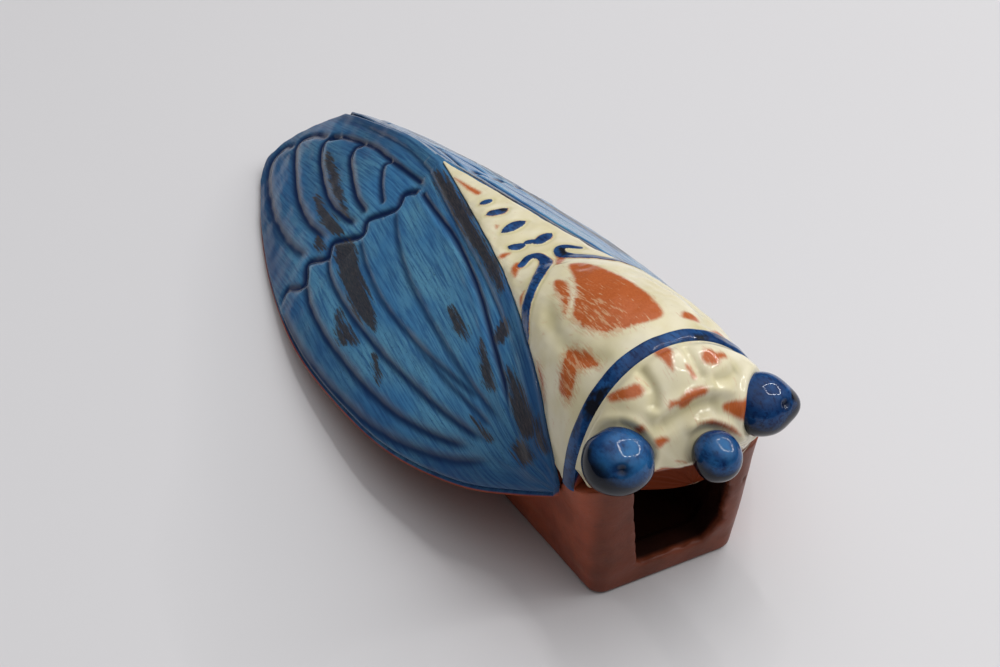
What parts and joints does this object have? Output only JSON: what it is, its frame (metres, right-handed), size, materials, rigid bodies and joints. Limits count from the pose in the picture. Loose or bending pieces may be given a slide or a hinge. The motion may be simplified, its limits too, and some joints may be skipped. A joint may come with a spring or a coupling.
{
  "type": "ceramic cicada wall pocket vase",
  "caption": "Glazed terracotta cicada with folded wings over a boxed pocket whose mouth opens under the head; flat back for hanging on a wall.",
  "frame": {"origin": "middle of the underside of the whole object's box, on the plane of the flat back", "axes": "+Z away from the wall or table, out of the insect's back; -Y towards the head and the mouth of the pocket; +X to the insect's right wing as seen from its head with the back up"},
  "size_m": [0.113, 0.252, 0.0764],
  "materials": {
    "terracotta": "unglazed fired terracotta, satin",
    "wing_glaze": "glossy brushed blue glaze",
    "cream_glaze": "glossy cream glaze with bare terracotta patches",
    "cobalt_glaze": "glossy dark cobalt glaze"
  },
  "bodies": {
    "root": {"back_slab": "terracotta", "mouth_wall": "terracotta", "left_wall": "terracotta", "right_wall": "terracotta", "tail_wall": "terracotta", "left_wing": "wing_glaze", "right_wing": "wing_glaze", "abdomen": "cream_glaze", "thorax": "cream_glaze", "collar": "cobalt_glaze", "head_shield": "cream_glaze", "left_eye": "cobalt_glaze", "right_eye": "cobalt_glaze", "snout": "cobalt_glaze"}
  },
  "joints": []
}
